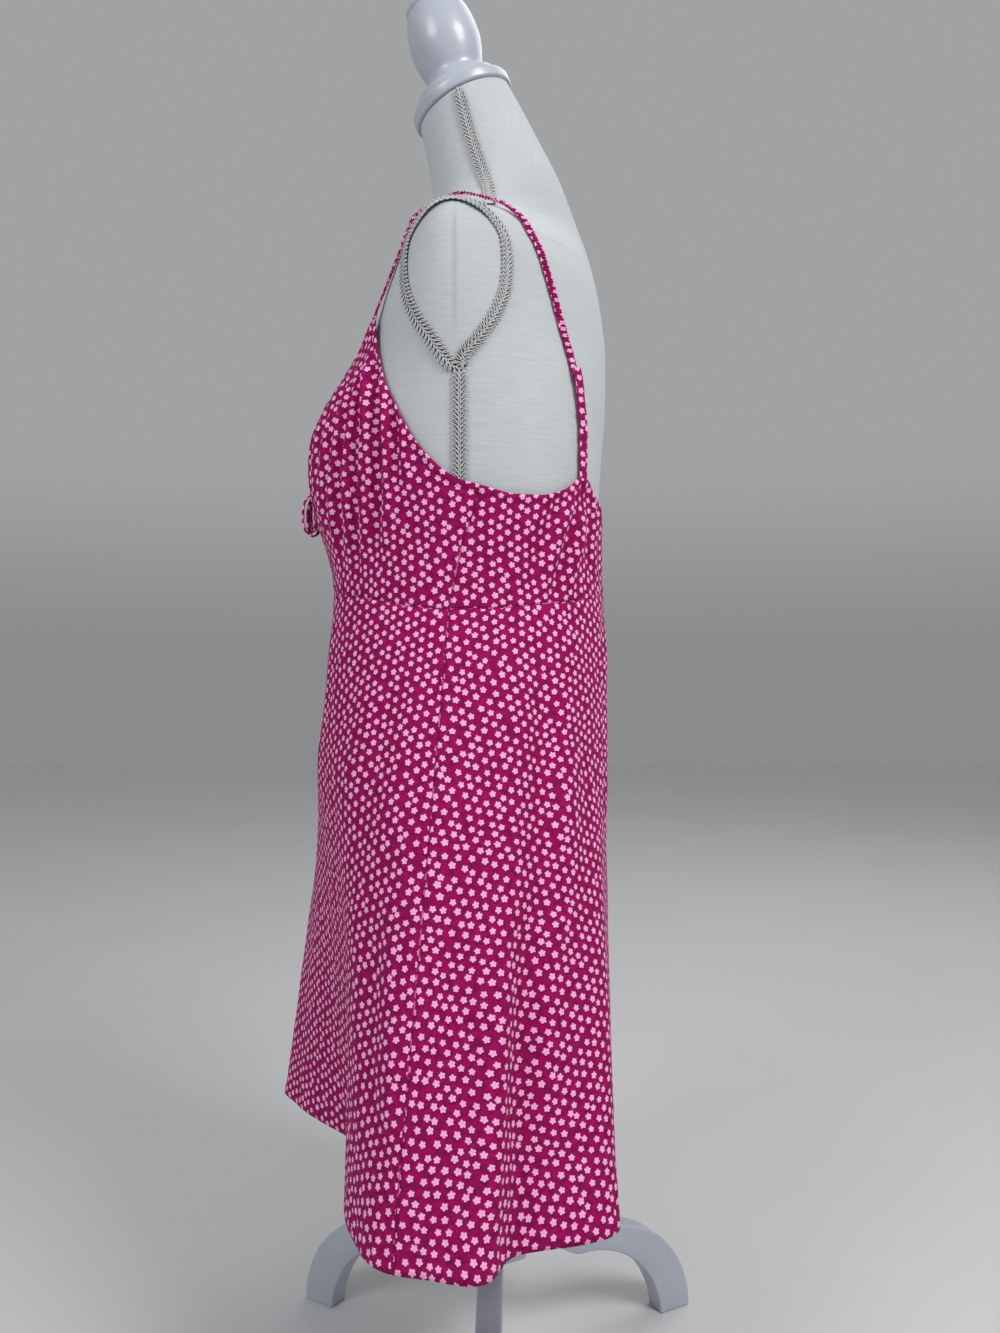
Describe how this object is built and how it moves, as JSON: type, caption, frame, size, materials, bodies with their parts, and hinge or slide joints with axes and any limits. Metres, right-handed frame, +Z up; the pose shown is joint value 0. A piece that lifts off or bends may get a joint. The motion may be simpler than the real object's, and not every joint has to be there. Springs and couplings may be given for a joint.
{
  "type": "a-line dress on dress form",
  "caption": "Short a-line dress with thin straps, a high waist seam and a flared, softly folded skirt, on a limbless dress form with a tripod base",
  "frame": {"origin": "on the floor, under the middle of the bounding box", "axes": "+Z up, from the floor to the finial; -Y is the wearer's front; +X is the wearer's left"},
  "size_m": [0.564, 0.393, 1.247],
  "materials": {
    "printed_cloth": "soft brushed jersey, magenta with small pale pink flowers",
    "form_cloth": "matt off-white knitted cover",
    "braid_cord": "grey looped furnishing braid",
    "white_paint": "glossy white paint over turned and sawn wood"
  },
  "bodies": {
    "root": {"bodice_front": "printed_cloth", "bodice_back": "printed_cloth", "skirt_front": "printed_cloth", "skirt_back": "printed_cloth", "strap_left": "printed_cloth", "strap_right": "printed_cloth", "back_strap_left": "printed_cloth", "back_strap_right": "printed_cloth", "bow_knot": "printed_cloth", "bow_loop_left": "printed_cloth", "bow_loop_right": "printed_cloth", "bow_tail_left": "printed_cloth", "bow_tail_right": "printed_cloth", "torso": "form_cloth", "armhole_braid_left": "braid_cord", "armhole_braid_right": "braid_cord", "side_braid_left": "braid_cord", "side_braid_right": "braid_cord", "shoulder_braid_left": "braid_cord", "shoulder_braid_right": "braid_cord", "neck_cap": "white_paint", "finial": "white_paint", "pole": "white_paint", "hub": "white_paint", "leg_left": "white_paint", "leg_back": "white_paint", "leg_front": "white_paint"}
  },
  "joints": []
}
